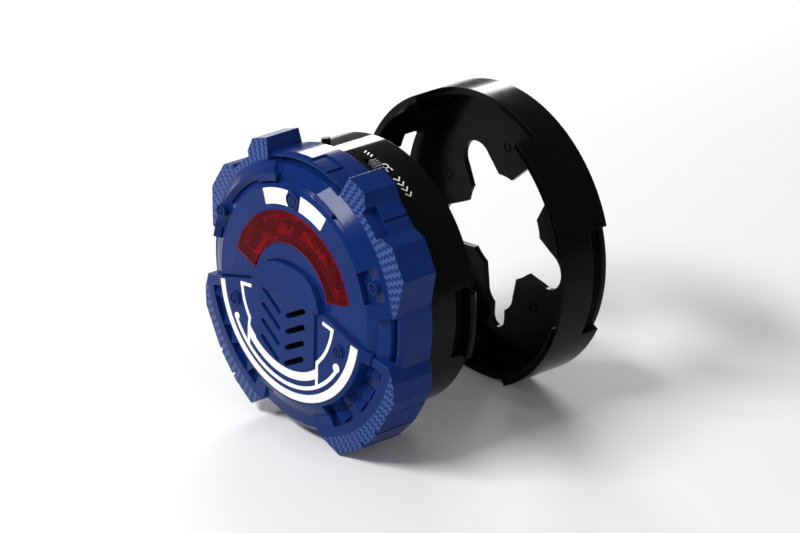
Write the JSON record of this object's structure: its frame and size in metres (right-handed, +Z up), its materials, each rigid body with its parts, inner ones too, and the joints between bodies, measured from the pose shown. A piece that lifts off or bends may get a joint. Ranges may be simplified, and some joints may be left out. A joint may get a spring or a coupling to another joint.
{
  "type": "spinning top toy",
  "caption": "Light-up spinning top: a lugged round face with an arc lens and sound slots on a latched housing with a steel tip, beside its petalled slip-on base ring.",
  "frame": {"origin": "on the spin axis, at the middle of the tip's round nose", "axes": "+Y is the spin axis, out of the tip and through the drawn-off base ring; the face looks towards -Y; +Z is up as pictured, +X is to the right of someone looking at the face"},
  "size_m": [0.104, 0.0995, 0.104],
  "materials": {
    "blue_shell": "satin moulded plastic",
    "white_print": "printed white",
    "red_lens": "clear red plastic",
    "reflector_white": "bright white plastic",
    "circuit_board": "green solder mask",
    "led_clear_red": "clear epoxy",
    "speaker_steel": "plated",
    "speaker_paper": "pressed paper",
    "speaker_magnet": "sintered",
    "chip_black": "moulded",
    "black_shell": "polished",
    "black_satin": "satin",
    "battery_jacket": "printed jacket",
    "nickel_contact": "nickel plated",
    "screw_steel": "zinc plated",
    "switch_steel": "tinned",
    "bush_brass": "turned",
    "grey_knob": "moulded",
    "tip_steel": "turned and polished",
    "ring_black": "semi-gloss"
  },
  "bodies": {
    "unit": {"face_bezel": "blue_shell", "upper_face_panel": "blue_shell", "lower_face_panel": "blue_shell", "white_trim": "white_print", "red_lens": "red_lens", "lens_reflector": "reflector_white", "led_board": "circuit_board", "leds": "led_clear_red", "speaker_frame": "speaker_steel", "speaker_cone": "speaker_paper", "speaker_magnet": "speaker_magnet", "main_board": "circuit_board", "board_chips": "chip_black", "rear_housing": "black_shell", "battery_cells": "battery_jacket", "battery_springs": "nickel_contact", "battery_plates": "nickel_contact", "battery_door": "black_satin", "door_screw": "screw_steel", "housing_screws": "screw_steel", "mode_switch_body": "switch_steel", "button_switch": "chip_black", "tip_bearing": "bush_brass"},
    "mode_knob": {"mode_knob": "grey_knob"},
    "push_button": {"push_button": "black_satin"},
    "right_latch": {"right_latch": "black_shell"},
    "left_latch": {"left_latch": "black_shell"},
    "tip": {"spin_tip": "tip_steel", "tip_clip": "screw_steel"},
    "ring": {"base_ring": "ring_black"}
  },
  "joints": [
    {"name": "ring_dock", "type": "slide", "parent": "unit", "child": "ring", "axis": [0, -1, 0], "range_m": [0, 0.0546]},
    {"name": "mode_slide", "type": "hinge", "parent": "unit", "child": "mode_knob", "pos_m": [0, 0, 0], "axis": [0, 1, 0], "range_deg": [-4.5, 4.5]},
    {"name": "button_press", "type": "slide", "parent": "unit", "child": "push_button", "axis": [0.1908, 0, -0.9816], "range_m": [0, 0.0012], "stiffness_N_per_m": 300, "springref_m": -0.001},
    {"name": "right_latch_flex", "type": "hinge", "parent": "unit", "child": "right_latch", "pos_m": [0.04244, -0.0167, -0.00371], "axis": [0.0872, 0, 0.9962], "range_deg": [0, 8], "stiffness_Nm_per_rad": 0.4, "springref_deg": -1.72},
    {"name": "left_latch_flex", "type": "hinge", "parent": "unit", "child": "left_latch", "pos_m": [-0.04244, -0.0167, 0.00371], "axis": [-0.0872, 0, -0.9962], "range_deg": [0, 8], "stiffness_Nm_per_rad": 0.4, "springref_deg": -1.72},
    {"name": "tip_spin", "type": "hinge", "parent": "unit", "child": "tip", "pos_m": [0, 0, 0], "axis": [0, 1, 0], "continuous": true}
  ]
}
